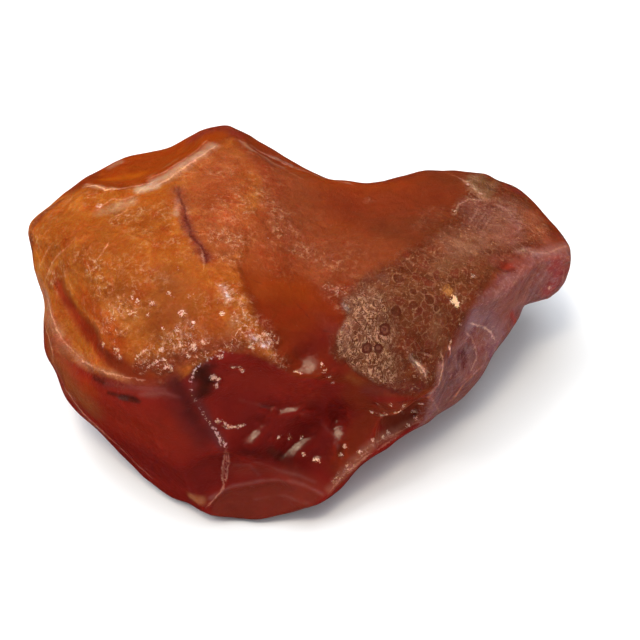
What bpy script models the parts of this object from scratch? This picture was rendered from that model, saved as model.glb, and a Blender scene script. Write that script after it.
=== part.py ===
"""Raw carnelian: one broken, water-worn chunk of chalcedony that fits in the palm, as a single solid.

The body is a lump with a given girdle, the line round it where the upper side turns over to the
under side. Flat breaks and hollow, shell-like breaks are then struck off it, low swellings are
raised on it, and the underside is level where the stone rests. Every size is in millimetres,
turned to metres at the end.

Places are (x, y, z) from the heart, a point inside the stone: +X is along the stone, +Y is to the
back, +Z is up. A way that a face looks is (turn, tilt): turn is the compass angle, 0 at +X, 90 at
the back, -90 at the front, and tilt is the angle above level, both in degrees.
"""

import math

import bmesh
import bpy
import numpy as np
from mathutils import Vector, noise

MM = 0.001

HEART_HEIGHT = 13.0  # the heart above the surface that the stone rests on
BROAD_SIDE = (-90, 50)  # the way that the broad upper side looks
FRONT_SWELL = 14.5  # how far the body bulges out of its broad side
BACK_SWELL = 17.5  # and on the side away from it
ROUNDNESS = 2.4  # 2 is an ellipsoid, more is squarer in section
FINE_CUTS = 60  # cuts along each edge of the starting icosahedron
FOOT_FLATNESS = 0.05  # corners nearer than this to the resting surface are set on it
SHARP_EDGE = 50  # facets that meet at more than this, in degrees, are shaded apart
KEPT_FACETS = 0.11  # share of the facets that is kept, most of them where the skin bends

GIRDLE = [
    (29.6, 9.2, 1.0),  # right tip
    (29.0, 6.6, -1.0),
    (27.4, 6.2, -2.5),
    (25.0, 6.5, -3.5),  # notch under the tip
    (24.0, 4.8, -4.6),
    (21.3, 1.6, -6.2),
    (19.5, -1.6, -7.0),
    (17.9, -3.6, -7.5),
    (15.0, -5.4, -8.0),
    (11.9, -6.8, -9.0),
    (7.3, -9.8, -10.5),
    (4.6, -12.5, -11.5),  # lower right corner
    (1.0, -14.0, -12.0),
    (-4.1, -15.3, -12.0),  # bottom
    (-7.8, -14.8, -12.0),
    (-10.9, -13.8, -11.5),
    (-13.3, -13.1, -11.0),  # lower left corner
    (-17.3, -9.6, -10.0),
    (-20.3, -6.7, -9.0),
    (-23.2, -3.5, -7.5),
    (-24.4, -1.1, -6.0),
    (-25.7, 1.2, -5.0),
    (-26.0, 4.3, -3.5),
    (-26.2, 6.2, -2.5),
    (-27.4, 9.8, -1.0),
    (-28.0, 12.0, 0.5),  # left corner
    (-27.7, 13.3, 1.5),
    (-25.7, 16.0, 2.0),
    (-21.9, 19.4, 3.0),
    (-18.5, 21.8, 3.5),
    (-13.9, 22.0, 4.5),
    (-10.2, 23.8, 5.0),
    (-7.6, 25.0, 5.2),  # crest
    (-5.9, 24.4, 5.0),
    (0.6, 19.6, 4.5),
    (5.6, 17.4, 4.0),
    (9.1, 17.6, 3.5),  # saddle
    (11.9, 18.3, 4.0),
    (15.2, 19.4, 4.0),
    (20.6, 19.6, 3.5),  # right shoulder
    (22.6, 19.0, 3.0),
    (24.7, 17.8, 3.0),
    (27.2, 14.3, 2.5),
    (29.0, 11.6, 1.5),
]

# Flat breaks: the way each looks, its depth from the heart, and how soft its edges are.
FLAT_BREAKS = {
    "crown": ((105, 82), 13.0, 6.0),
    "right shoulder": ((40, 74), 10.6, 4.0),
    "crust slope": ((-60, 50), 11.4, 2.5),
    "front left": ((-125, -3), 18.5, 1.2),
    "front middle": ((-92, 17), 13.6, 1.2),
    "front right": ((-50, -8), 15.2, 1.0),
    "right flank": ((-45, 10), 16.2, 1.0),
    "back": ((88, 8), 26.0, 3.0),
    "back left": ((128, 15), 29.4, 3.0),
    "under right": ((-12, -48), 20.5, 3.0),
    "under back": ((95, -45), 15.5, 3.0),
    "under left": ((-165, -42), 22.8, 3.0),
}

# Hollow breaks: the deepest place, the way it looks, the radius of the hollow, its edges' softness.
HOLLOW_BREAKS = {
    "back left scar": ((-15.6, 16.4, 5.8), (118, 52), 13.0, 1.0),
    "left groove": ((-20.8, -3.0, 3.0), (-145, 35), 7.5, 1.2),
    "back ledge": ((1.0, 17.2, 5.6), (63, 50), 13.0, 0.8),
    "saddle back": ((7.0, 11.0, 6.8), (60, 75), 15.0, 3.0),
    "saddle front": ((5.0, 0.0, 8.8), (-60, 80), 17.0, 2.5),
    "front scar": ((-2.6, -10.9, 2.2), (-95, 18), 10.0, 1.5),
    "front right scar": ((3.2, -10.0, -0.6), (-82, 8), 12.0, 1.5),
    "bottom scar": ((-3.0, -14.0, -9.0), (-95, 20), 12.0, 1.0),
    "flank scar": ((18.4, -2.4, 0.6), (-38, 15), 10.0, 1.5),
    "tip scar": ((26.0, 6.2, 0.3), (-50, 15), 9.0, 1.5),
    "notch": ((10.6, -7.6, -4.0), (-60, 5), 4.0, 1.2),
    "stain pit": ((-8.2, -11.2, 6.2), (-100, 40), 2.6, 1.2),
    "back hollow": ((5.5, 16.6, -3.0), (78, -20), 15.0, 1.5),
    "left hollow": ((-24.6, 6.0, -3.5), (178, -12), 9.0, 1.2),
    "under hollow": ((15.0, 5.0, -9.4), (20, -55), 15.0, 2.0),
}

# Swellings: the place on the skin, the height and the width.
SWELLINGS = {
    "dome": ((-14.0, -1.0, 11.0), 0.8, 8.0),
    "crack side": ((-8.0, 7.0, 11.0), 0.5, 4.0),
    "lobe": ((16.0, 7.0, 7.0), 0.7, 6.0),
    "collar": ((-6.3, -14.5, 2.0), 0.6, 2.2),
}

LUMP_HEIGHT = 0.35  # uneven lumps over the whole skin
LUMP_WIDTH = 5.0
RIM_STRAY = 0.06  # how far the rims of hollow breaks stray, as an angle seen from the heart
RIM_BENDS = 4.0  # and how often
STRAY_PARTS = (Vector((0.0, 0.0, 0.0)), Vector((5.2, 1.3, 9.1)), Vector((2.8, 7.7, 3.4)))


def way(turn, tilt):
    """The unit vector of a way, given in degrees."""
    turn, tilt = math.radians(turn), math.radians(tilt)
    return np.array([math.cos(turn) * math.cos(tilt), math.sin(turn) * math.cos(tilt), math.sin(tilt)])


def soft_min(a, b, softness):
    """The lesser of two lengths, with the change from one to the other rounded over softness."""
    near = np.clip(softness - np.abs(a - b), 0.0, None) / softness
    return np.minimum(a, b) - near * near * softness / 4


def smooth_loop(points, steps=8):
    """A closed Catmull-Rom curve through the points."""
    p1 = np.array(points, float)
    p0, p2, p3 = np.roll(p1, 1, 0), np.roll(p1, -1, 0), np.roll(p1, -2, 0)
    found = []
    for t in np.arange(steps) / steps:
        bend = 2 * p0 - 5 * p1 + 4 * p2 - p3
        twist = 3 * p1 - p0 - 3 * p2 + p3
        found.append((2 * p1 + (p2 - p0) * t + bend * t**2 + twist * t**3) / 2)
    return np.stack(found, 1).reshape(-1, p1.shape[1])


def body_reach(rays):
    """The distance from the heart to the unbroken body along each ray."""
    out = way(*BROAD_SIDE)
    across = np.array([1.0, 0.0, 0.0])
    up = np.cross(out, across)
    loop = smooth_loop(GIRDLE)
    loop_angle = np.arctan2(loop @ up, loop @ across)
    loop_reach = np.hypot(loop @ up, loop @ across)
    lean = (loop @ out) / loop_reach
    angle = np.arctan2(rays @ up, rays @ across)
    order = np.argsort(loop_angle)
    ring = {"xp": loop_angle[order], "period": 2 * math.pi}
    aside = np.hypot(rays @ up, rays @ across)
    off_girdle = rays @ out - np.interp(angle, fp=lean[order], **ring) * aside
    swell = np.where(off_girdle > 0, FRONT_SWELL, BACK_SWELL)
    edge = np.interp(angle, fp=loop_reach[order], **ring)
    total = (aside / edge) ** ROUNDNESS + (np.abs(off_girdle) / swell) ** ROUNDNESS
    return total ** (-1 / ROUNDNESS)


def struck_flat(reach, rays, looks, depth, softness):
    """The reach left after a flat break."""
    plane = depth / np.maximum(rays @ way(*looks), 1e-3)
    return soft_min(reach, plane, softness)


def strayed(rays):
    """The rays, each turned a little aside, smoothly over the stone, so that a round break is uneven."""
    aside = [[noise.noise((Vector(ray) + part) * RIM_BENDS) for part in STRAY_PARTS] for ray in rays]
    turned = rays + RIM_STRAY * np.array(aside)
    return turned / np.linalg.norm(turned, axis=1)[:, None]


def struck_hollow(reach, rays, deepest, looks, radius, softness):
    """The reach left after a hollow break, the near side of a ball outside the stone."""
    centre = np.array(deepest) + way(*looks) * radius
    along = rays @ centre
    inside = along**2 - (centre @ centre - radius**2)
    near_side = along - np.sqrt(np.maximum(inside, 0.0))
    cut = soft_min(reach, near_side, softness)
    return np.where((inside > 0) & (along > 0), cut, reach)


def swollen(reach, rays, place, height, width):
    """The reach with a round swelling raised at a place."""
    toward = np.array(place) / np.linalg.norm(place)
    away = np.linalg.norm(place) * np.arccos(np.clip(rays @ toward, -1.0, 1.0))
    return reach + height * np.exp(-((away / width) ** 2))


def stone_points(rays):
    """The points of the stone's skin along rays from the heart."""
    reach = body_reach(rays)
    for flat in FLAT_BREAKS.values():
        reach = struck_flat(reach, rays, *flat)
    uneven = strayed(rays)
    for hollow in HOLLOW_BREAKS.values():
        reach = struck_hollow(reach, uneven, *hollow)
    for swelling in SWELLINGS.values():
        reach = swollen(reach, rays, *swelling)
    points = rays * reach[:, None]
    reach += LUMP_HEIGHT * np.array([noise.fractal(Vector(p) / LUMP_WIDTH, 1.0, 2.0, 2) for p in points])
    floor = HEART_HEIGHT / np.maximum(-rays[:, 2], 1e-3)
    return rays * np.minimum(reach, floor)[:, None]


def stone():
    """The stone's object: a fine ball drawn in to the skin, then redrawn in fewer facets."""
    ball = bmesh.new()
    bmesh.ops.create_icosphere(ball, subdivisions=1, radius=1.0)
    bmesh.ops.subdivide_edges(ball, edges=ball.edges[:], cuts=FINE_CUTS, use_grid_fill=True)
    rays = np.array([v.co for v in ball.verts])
    rays /= np.linalg.norm(rays, axis=1)[:, None]
    points = stone_points(rays)
    low, high = points.min(0), points.max(0)
    points -= np.array([(low[0] + high[0]) / 2, (low[1] + high[1]) / 2, low[2]])
    for vertex, point in zip(ball.verts, points * MM):
        vertex.co = point
    mesh = bpy.data.meshes.new("carnelian")
    ball.to_mesh(mesh)
    ball.free()
    made = bpy.data.objects.new("carnelian", mesh)
    parts.objects.link(made)
    facets = made.modifiers.new("facets", "DECIMATE")
    facets.ratio = KEPT_FACETS
    made.data = bpy.data.meshes.new_from_object(
        made.evaluated_get(bpy.context.evaluated_depsgraph_get())
    )
    made.modifiers.clear()
    for vertex in made.data.vertices:
        if vertex.co.z < FOOT_FLATNESS * MM:
            vertex.co.z = 0.0
    return made


def carnelian_material():
    """Translucent orange-brown chalcedony with a waxy shine, as one flat colour."""
    material = bpy.data.materials.new("carnelian")
    material.use_nodes = True
    shader = material.node_tree.nodes["Principled BSDF"]
    shader.inputs["Base Color"].default_value = (0.42, 0.085, 0.025, 1.0)
    shader.inputs["Roughness"].default_value = 0.3
    shader.inputs["Metallic"].default_value = 0.0
    return material


for old in list(bpy.data.objects):
    bpy.data.objects.remove(old)
parts = bpy.data.collections.new("raw carnelian")
bpy.context.scene.collection.children.link(parts)
carnelian = stone()
carnelian.data.materials.append(carnelian_material())
carnelian.data.shade_smooth()
carnelian.data.set_sharp_from_angle(angle=math.radians(SHARP_EDGE))
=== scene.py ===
import math

import bmesh
import bpy
import numpy as np
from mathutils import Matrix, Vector, noise
from mathutils.bvhtree import BVHTree


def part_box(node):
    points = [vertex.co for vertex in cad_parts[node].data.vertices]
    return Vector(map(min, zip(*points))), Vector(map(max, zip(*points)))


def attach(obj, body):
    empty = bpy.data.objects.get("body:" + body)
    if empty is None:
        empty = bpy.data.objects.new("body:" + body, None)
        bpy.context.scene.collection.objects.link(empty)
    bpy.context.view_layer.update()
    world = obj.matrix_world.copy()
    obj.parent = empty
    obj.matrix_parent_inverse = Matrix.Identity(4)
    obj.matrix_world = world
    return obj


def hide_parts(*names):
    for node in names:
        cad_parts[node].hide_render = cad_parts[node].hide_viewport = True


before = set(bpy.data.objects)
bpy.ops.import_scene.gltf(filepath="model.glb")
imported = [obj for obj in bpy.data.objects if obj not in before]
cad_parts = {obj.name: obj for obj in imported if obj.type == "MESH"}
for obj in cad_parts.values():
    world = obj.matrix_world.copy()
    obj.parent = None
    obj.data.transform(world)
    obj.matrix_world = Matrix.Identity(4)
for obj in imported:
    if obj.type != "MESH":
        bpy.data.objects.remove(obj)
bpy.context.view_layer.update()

MM = 0.001

# ---------------------------------------------------------------------------------------------
# The view. The stone lies on a table with its broad side up, and is looked at from the front and
# above, with a long lens that keeps its outline nearly free of perspective.

VIEW_HEIGHT = math.radians(50.0)
VIEW_DISTANCE = 187.0 * MM
LENS = 100.0
SENSOR = 36.0
LOOKED_AT = Vector((2.16, -1.33, 10.88)) * MM
FRAME_SIDE = 640  # the picture's side in pixels
TO_EYE = Vector((0.0, -math.cos(VIEW_HEIGHT), math.sin(VIEW_HEIGHT)))
UP_SLOPE = Vector((0.0, math.sin(VIEW_HEIGHT), math.cos(VIEW_HEIGHT)))

camera_data = bpy.data.cameras.new("eye")
camera_data.lens = LENS
camera_data.sensor_width = SENSOR
camera = bpy.data.objects.new("eye", camera_data)
camera.location = LOOKED_AT + TO_EYE * VIEW_DISTANCE
camera.rotation_euler = (math.pi / 2 - VIEW_HEIGHT, 0.0, 0.0)
bpy.context.scene.collection.objects.link(camera)
bpy.context.scene.camera = camera
bpy.context.scene.view_settings.view_transform = "Standard"


def sight(pixel):
    """The way from the eye through a pixel of the frame, counted from its upper left corner."""
    half = FRAME_SIDE / 2
    scale = SENSOR / LENS / FRAME_SIDE
    across, up = (pixel[0] - half) * scale, (half - pixel[1]) * scale
    return (Vector((across, 0.0, 0.0)) + UP_SLOPE * up - TO_EYE).normalized()


# ---------------------------------------------------------------------------------------------
# The stone: one chunk of chalcedony, coloured orange to deep red by iron, broken long ago along
# its front, and water-worn to a waxy shine. Part of its brown crust is left on the right lobe.

JOINED_WITHIN = 0.002 * MM
FINE_FACET = 0.225 * MM
ROUNDING_PASSES = 7  # evens out the facets of the solid
KEPT_SHARE = 0.66  # of the facets, after the unseen side is thinned

cad_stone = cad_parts["carnelian"]
rough = bmesh.new()
rough.from_mesh(cad_stone.data)
bmesh.ops.remove_doubles(rough, verts=rough.verts, dist=JOINED_WITHIN)
solid = BVHTree.FromBMesh(rough)
blank = bpy.data.meshes.new("stone_blank")
rough.to_mesh(blank)
rough.free()
stone = bpy.data.objects.new("carnelian_stone", blank)
bpy.context.scene.collection.objects.link(stone)
redrawn = stone.modifiers.new("fine facets", "REMESH")
redrawn.mode = "VOXEL"
redrawn.voxel_size = FINE_FACET
rounded = stone.modifiers.new("rounding", "SMOOTH")
rounded.factor = 0.5
rounded.iterations = ROUNDING_PASSES


def finished_mesh(piece):
    """The piece's mesh with its modifiers worked in."""
    graph = bpy.context.evaluated_depsgraph_get()
    mesh = bpy.data.meshes.new_from_object(piece.evaluated_get(graph))
    piece.modifiers.clear()
    piece.data = mesh
    return mesh


skin = finished_mesh(stone)


def vectors(mesh, what):
    """The places or normals of a mesh's corners as an array."""
    found = np.empty(len(mesh.vertices) * 3, np.float32)
    if what == "places":
        mesh.vertices.foreach_get("co", found)
    else:
        mesh.vertex_normals.foreach_get("vector", found)
    return found.reshape(-1, 3).astype(float)


unseen = stone.vertex_groups.new(name="unseen")
turned_away = np.flatnonzero(vectors(skin, "normals") @ np.array(TO_EYE) < -0.1)
unseen.add(turned_away.tolist(), 1.0, "REPLACE")
thinned = stone.modifiers.new("thinner unseen side", "DECIMATE")
thinned.ratio = KEPT_SHARE
thinned.vertex_group = unseen.name
skin = finished_mesh(stone)
stone.vertex_groups.clear()
places = vectors(skin, "places")
normals = vectors(skin, "normals")
on_broad_side = places @ np.array([[1, 0, 0], UP_SLOPE]).T / MM
faces_eye = normals @ np.array(TO_EYE)


def found_on_stone(pixel):
    """The place on the stone that shows at a pixel, or on the plane behind it."""
    ray = sight(pixel)
    hit = solid.ray_cast(camera.location, ray)[0]
    if hit is None:
        hit = camera.location + ray * (VIEW_DISTANCE / -ray.dot(TO_EYE))
    return hit


def drift(size, seed):
    """Smooth noise from -1 to 1 over the stone's skin, with features of a size in millimetres."""
    shift = Vector((seed * 7.3, seed * 3.1, seed * 5.7))
    return np.array([noise.noise(Vector(p) / (size * MM) + shift) for p in places])


WANDER = {"broad": drift(5.0, 1), "middling": drift(1.8, 2), "fine": drift(0.7, 3)}


def wander(amount):
    """How far an edge strays from its line, in millimetres."""
    return amount * (0.9 * WANDER["broad"] + 0.7 * WANDER["middling"] + 0.4 * WANDER["fine"])


def eased(value, low, high):
    """0 below low, 1 above high, and a smooth step between."""
    t = np.clip((value - low) / (high - low), 0.0, 1.0)
    return t * t * (3 - 2 * t)


def area(outline, blur, stray):
    """1 inside an outline that is laid on the broad side, 0 outside it."""
    corners = [found_on_stone(pixel) for pixel in outline]
    flat = np.array([(p.x / MM, p.dot(UP_SLOPE) / MM) for p in corners])
    x, y = on_broad_side.T
    inside = np.zeros(len(x), bool)
    nearest = np.full(len(x), 1e9)
    for (x0, y0), (x1, y1) in zip(flat, np.roll(flat, -1, 0)):
        crosses = (y0 > y) != (y1 > y)
        with np.errstate(divide="ignore", invalid="ignore"):
            inside ^= crosses & (x < (x1 - x0) * (y - y0) / (y1 - y0) + x0)
        length2 = max((x1 - x0) ** 2 + (y1 - y0) ** 2, 1e-9)
        t = np.clip(((x - x0) * (x1 - x0) + (y - y0) * (y1 - y0)) / length2, 0, 1)
        nearest = np.minimum(nearest, np.hypot(x - x0 - t * (x1 - x0), y - y0 - t * (y1 - y0)))
    depth = np.where(inside, nearest, -nearest) + wander(stray)
    return eased(depth, -blur, blur) * eased(faces_eye, -0.3, 0.0)


def from_line(path, stray=0.0, sided=False):
    """The distance, in millimetres, of each corner of the skin from a line drawn on the stone.
    Where it is sided, it is less than 0 on one side of the line."""
    ends = [np.array(found_on_stone(pixel)) for pixel in path]
    ends = ends * 2 if len(ends) == 1 else ends
    nearest, side = np.full(len(places), 1e9), 1.0
    for a, b in zip(ends, ends[1:]):
        along = b - a
        t = np.clip((places - a) @ along / max(along @ along, 1e-15), 0.0, 1.0)
        off = places - a - t[:, None] * along
        gap = np.linalg.norm(off, axis=1)
        if sided:
            side = np.where(gap < nearest, np.sign(np.cross(along, off) @ np.array(TO_EYE)), side)
        nearest = np.minimum(nearest, gap)
    return nearest * side / MM + wander(stray)


def line(path, width, blur, stray=0.0):
    """1 on a line of a width drawn on the stone, 0 off it."""
    return 1 - eased(from_line(path, stray), width / 2 - blur / 2, width / 2 + blur / 2)


def among(*masks):
    """1 where any of the masks is 1."""
    return np.clip(np.max(masks, axis=0), 0.0, 1.0)


# The colours of the stone: linear red, green and blue, in thousandths.
RUST = (155, 21, 6)
BROWN = (122, 22, 7)
AMBER = (290, 70, 6.5)
HONEY = (220, 50, 5)
PEACH = (250, 52, 13)
TAN = (190, 38, 11)
EMBER = (215, 31, 3)
FLAME = (260, 30, 2)
SCARLET = (188, 12.5, 4.5)
BLOOD = (168, 9, 6)
GARNET = (122, 7, 5)
WINE = (98, 4, 3)
BRICK = (152, 18, 10)
SOOT = (40, 6, 4)
SLATE = (75, 36, 30)
ROSE = (205, 58, 40)
MAUVE = (175, 60, 52)
AUBERGINE = (90, 16, 14)
BUFF = (270, 100, 45)

# The lie of the main faces. Pixels are those of the frame at the front view.
BREAK_LINE = [
    (38, 330), (48, 348), (64, 358), (88, 372), (128, 384), (172, 387), (190, 374), (203, 364),
    (222, 351), (250, 355), (275, 365), (300, 380), (345, 384), (376, 396), (428, 398),
]
BELOW_STONE = [(418, 424), (350, 525), (200, 530), (90, 460), (20, 380)]
DOME = [
    (15, 225), (50, 195), (95, 187), (150, 184), (166, 176), (205, 150), (232, 140), (262, 178),
    (256, 220), (238, 262), (250, 297), (260, 325), (282, 362), (250, 358), (222, 351), (203, 364),
    (190, 374), (172, 387), (128, 384), (88, 372), (62, 350), (30, 300),
]
RED_WINDOW = [
    (242, 268), (275, 282), (300, 277), (324, 287), (344, 297), (350, 314), (338, 335), (343, 352),
    (352, 368), (376, 380), (345, 392), (300, 382), (280, 368), (268, 336), (256, 320), (248, 294),
]
CRUST = [
    (341, 302), (352, 284), (392, 262), (425, 236), (455, 214), (463, 200), (470, 172), (500, 168),
    (530, 195), (555, 235), (527, 250), (500, 268), (470, 300), (462, 325), (446, 347), (436, 384),
    (415, 392), (380, 384), (352, 370), (342, 352), (338, 335), (350, 314),
]
GLAZED = [
    (330, 318), (345, 296), (368, 288), (384, 300), (392, 330), (386, 352), (396, 372), (382, 392),
    (350, 381), (334, 358), (326, 338),
]
FLANK = [
    (590, 246), (562, 247), (530, 252), (505, 270), (480, 300), (463, 328), (447, 347), (437, 384),
    (429, 400), (418, 424), (470, 420), (600, 310),
]
NOTCH = [(376, 404), (428, 397), (424, 420), (396, 432), (378, 426)]
BACK_SCAR = [
    (88, 188), (96, 160), (160, 130), (222, 108), (236, 130), (207, 151), (166, 176), (150, 185),
    (118, 191),
]
PURPLE_BREAK = [(463, 202), (486, 200), (508, 208), (514, 228), (490, 238), (466, 226)]
DISHED_FACE = [
    (452, 356), (462, 348), (470, 343), (477, 350), (478, 359), (472, 371), (465, 380), (455, 388),
    (447, 392), (445, 382), (446, 368),
]
BUFF_PATCH = [
    (466, 182), (471, 176), (484, 174), (495, 177), (499, 182), (497, 190), (492, 198), (484, 202),
    (478, 196), (472, 189),
]
RIPPLED = [
    (209, 496), (227, 487), (254, 482), (286, 479), (302, 484), (322, 494), (300, 520), (215, 520),
]
CELLS = [(385, 262), (430, 240), (470, 262), (462, 310), (440, 345), (405, 350), (392, 300)]
EVENED = [
    (62, 240), (120, 218), (185, 225), (228, 262), (228, 318), (180, 340), (120, 335), (85, 295),
]
WINDOW_HAZE = [(236, 250), (262, 262), (300, 272), (345, 290)]

front = area(BREAK_LINE + BELOW_STONE, 0.2, 0.2)
dome = area(DOME, 0.7, 0.5)
window = area(RED_WINDOW, 0.5, 0.3) * (1 - 0.8 * line(WINDOW_HAZE, 1.5, 3.5, 0.5))
crust = area(CRUST, 0.7, 0.8)
glazed = area(GLAZED, 1.3, 0.9) * area(CRUST, 0.2, 0.35)
flank = area(FLANK, 0.7, 0.6)
notch = area(NOTCH, 0.3, 0.2)
back_scar = area(BACK_SCAR, 0.25, 0.15)
dish = area(DISHED_FACE, 0.3, 0.1)
hidden = 1 - eased(faces_eye, -0.15, 0.15)

# Strokes of colour along lines on the stone: colour, line, width and soft edge in millimetres, and
# how strong they are if not fully.
SADDLE_STROKES = [
    (BROWN, [(400, 225), (430, 230), (470, 190)], 9.0, 6.0),
    (TAN, [(290, 190), (300, 225), (330, 255), (375, 262)], 8.0, 5.0, 0.9),
    (RUST, [(345, 205), (400, 200), (440, 195)], 5.0, 5.0, 0.8),
]
DOME_STROKES = [
    (PEACH, [(222, 165), (215, 200), (232, 240)], 7.0, 6.0),
    (HONEY, [(45, 225), (70, 260), (110, 240), (150, 225)], 5.0, 4.0, 0.6),
    ((195, 43, 4), [(166, 292), (178, 315), (160, 330)], 4.0, 3.5, 0.75),
    ((180, 36, 4), [(118, 290), (150, 312), (160, 322)], 2.6, 2.5, 0.7),
    ((350, 105, 16), [(102, 318), (118, 310), (134, 318)], 2.2, 2.2, 0.7),
    ((150, 20, 7), [(140, 370), (168, 366), (188, 355), (224, 343), (244, 350)], 1.9, 2.0, 0.9),
    ((170, 26, 10), [(250, 352), (268, 362), (290, 376)], 0.8, 1.2, 0.8),
    # silvery painted reflections on two spots of the dome's lower slope
    ((400, 250, 220), [(223, 287), (228, 298)], 0.5, 0.9, 0.4),
    ((400, 250, 220), [(250, 336), (256, 340), (265, 345)], 0.5, 0.9, 0.4),
    (EMBER, [(215, 320), (200, 335)], 2.5, 2.5, 0.6),
    (EMBER, [(242, 262), (250, 285)], 2.0, 2.0, 0.7),
]
SCAR_STROKES = [  # the old scar on the back edge, and the peak beside it
    ((310, 62, 3), [(104, 180), (125, 178), (142, 174)], 1.2, 1.2, 0.9),
    ((215, 24, 3), [(118, 166), (150, 158), (185, 143)], 0.9, 1.0, 0.6),
    (BRICK, [(195, 137), (210, 130), (222, 127), (240, 135)], 1.6, 1.8, 0.9),
]
GROOVE_STROKES = [  # the red groove and pale rim down the left side
    (SCARLET, [(58, 285), (68, 303), (80, 321), (95, 341), (106, 357), (122, 366)], 1.7, 1.6, 0.9),
    (FLAME, [(84, 300), (98, 318), (118, 345), (112, 352)], 1.6, 1.8, 0.7),
    ((270, 85, 38), [(40, 285), (48, 318), (60, 348)], 2.2, 2.0, 0.85),
    ((300, 125, 70), [(46, 292), (52, 319), (62, 343), (80, 361), (104, 372), (126, 377)], 0.7, 0.8, 0.7),
    ((220, 60, 26), [(66, 362), (92, 376), (130, 384)], 0.6, 0.8, 0.5),
    ((165, 13, 3), [(84, 330), (95, 344), (108, 357)], 1.5, 1.3, 0.9),
    ((110, 14, 5), [(29, 262), (31, 240), (40, 216), (57, 203)], 1.3, 1.4, 0.9),
    ((150, 16, 4), [(122, 368), (150, 380), (176, 378)], 1.2, 1.2, 0.9),
    ((150, 18, 5), [(100, 348), (110, 362), (128, 372)], 1.2, 1.2, 0.8),
]
BACK_EDGE_STROKES = [  # pale bruised edges along the back, and painted sheen along the back rim
    ((310, 170, 85), [(102, 211), (118, 207), (130, 202)], 1.3, 1.2, 0.7),
    ((420, 260, 165), [(140, 190), (154, 186)], 1.0, 0.8, 0.85),
    ((370, 195, 120), [(156, 182), (169, 176), (180, 168), (198, 156), (212, 146)], 1.2, 1.2, 0.85),
    ((270, 90, 34), [(150, 176), (164, 168), (176, 160)], 0.6, 0.8, 0.6),
    ((380, 170, 90), [(86, 184), (96, 187), (106, 190), (118, 189)], 0.45, 0.5, 0.85),
    ((240, 110, 60), [(108, 168), (120, 162)], 0.5, 0.6, 0.7),
    # painted highlights along the narrow rim to the right of the peak
    ((330, 160, 95), [(240, 141), (252, 150), (266, 158), (284, 168)], 0.35, 0.5, 0.7),
    ((260, 140, 105), [(250, 144), (276, 158), (300, 169), (326, 180), (350, 184)], 0.25, 0.35, 0.7),
]
WINDOW_STROKES = [
    ((225, 46, 10), [(264, 196), (256, 232), (250, 262), (262, 288)], 1.5, 3.0, 0.65),
    (EMBER, [(262, 285), (300, 290)], 3.0, 3.0, 0.6),
    (GARNET, [(310, 352), (330, 335), (335, 365)], 3.0, 3.5, 0.8),
]
CRUST_STROKES = [
    ((140, 37, 12), [(400, 300), (440, 285), (470, 265)], 6.0, 5.0, 0.8),
    ((175, 58, 24), [(436, 318), (432, 334), (440, 345)], 1.6, 1.6, 0.7),
    ((200, 75, 32), [(438, 264), (456, 242), (474, 248)], 2.5, 2.8, 0.7),
]
TIP_STROKES = [
    ((260, 96, 55), [(458, 248), (476, 241), (497, 238), (512, 226), (512, 208)], 3.0, 3.0, 0.6),
    (ROSE, [(506, 210), (517, 224), (512, 245)], 1.5, 1.5, 0.7),
    ((250, 60, 24), [(533, 218), (538, 234)], 2.2, 2.0, 0.95),
    ((165, 22, 10), [(530, 198), (548, 216), (560, 238)], 1.3, 1.3, 0.8),
    (RUST, [(424, 262), (440, 246)], 2.0, 2.5, 0.5),
    ((55, 28, 28), [(500, 176), (520, 184), (538, 198), (552, 218), (564, 238)], 0.4, 0.5, 0.7),
]
BUFF_STROKES = [
    (BUFF, [(467, 182), (473, 190), (480, 196), (486, 201)], 0.5, 0.6, 0.8),
    ((130, 16, 12), [(510, 187), (520, 194)], 0.9, 0.8, 0.8),
    (SOOT, [(488, 187), (494, 190)], 0.4, 0.5, 0.8),
]
GLAZE_STROKES = [
    # painted sheen down the patch's bright left edge
    ((290, 130, 85), [(350, 322), (344, 337), (346, 350)], 0.7, 0.9, 0.8),
    ((130, 38, 15), [(366, 360), (378, 364), (390, 364)], 1.8, 1.6, 0.7),
    # a painted highlight on the crust's lower edge
    ((250, 130, 85), [(411, 357), (418, 366), (423, 374)], 0.6, 0.9, 0.7),
]
FLANK_STROKES = [
    ((200, 56, 42), [(560, 262), (520, 290), (505, 312), (480, 340)], 4.0, 3.0),
    ((190, 80, 82), [(475, 311), (472, 326)], 1.4, 1.4, 0.9),
]
DISH_RIM = [(482, 368), (473, 376), (464, 385), (456, 397)]
TIP_EDGE = [(517, 252), (525, 249), (534, 252), (549, 252), (556, 249), (568, 246)]
FLANK_EDGE_STROKES = [  # the dished face, the flank's edges, the tip and the red pit
    ((78, 12, 11), [(464, 354), (467, 361), (466, 368)], 0.9, 0.9, 0.9),
    ((95, 20, 18), [(459, 371), (451, 384)], 0.6, 0.8, 0.75),
    # a painted highlight down the flank's left ridge
    ((310, 130, 98), [(440, 366), (438, 384), (430, 398)], 0.8, 0.9, 0.85),
    ((210, 90, 84), [(442, 392), (433, 408), (424, 423)], 1.2, 1.2, 0.6),
    ((250, 34, 34), [(556, 266), (560, 275), (549, 290)], 1.8, 1.4, 0.85),
    ((230, 85, 70), [(513, 306), (528, 303)], 1.3, 1.4, 0.8),
    ((280, 26, 16), [(512, 314), (516, 324)], 0.5, 0.5, 0.9),
    ((300, 90, 55), DISH_RIM, 0.35, 0.5, 0.7), ((270, 105, 75), TIP_EDGE, 0.7, 0.9, 0.65),
    (AUBERGINE, [(440, 398), (452, 384)], 1.5, 1.5, 0.5),
    ((200, 100, 110), [(474, 322), (488, 318), (498, 332), (494, 350)], 1.8, 2.0, 0.75),
    ((240, 100, 90), [(480, 347), (481, 358), (474, 371), (462, 384)], 0.4, 0.6, 0.7),
    ((185, 40, 24), [(498, 262), (514, 262)], 2.2, 1.2, 0.8),
    ((200, 20, 9), [(504, 264), (510, 266)], 0.9, 0.7, 0.9),
    ((90, 12, 8), [(499, 268), (506, 271), (513, 269)], 0.25, 0.4, 0.8),
]
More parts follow.
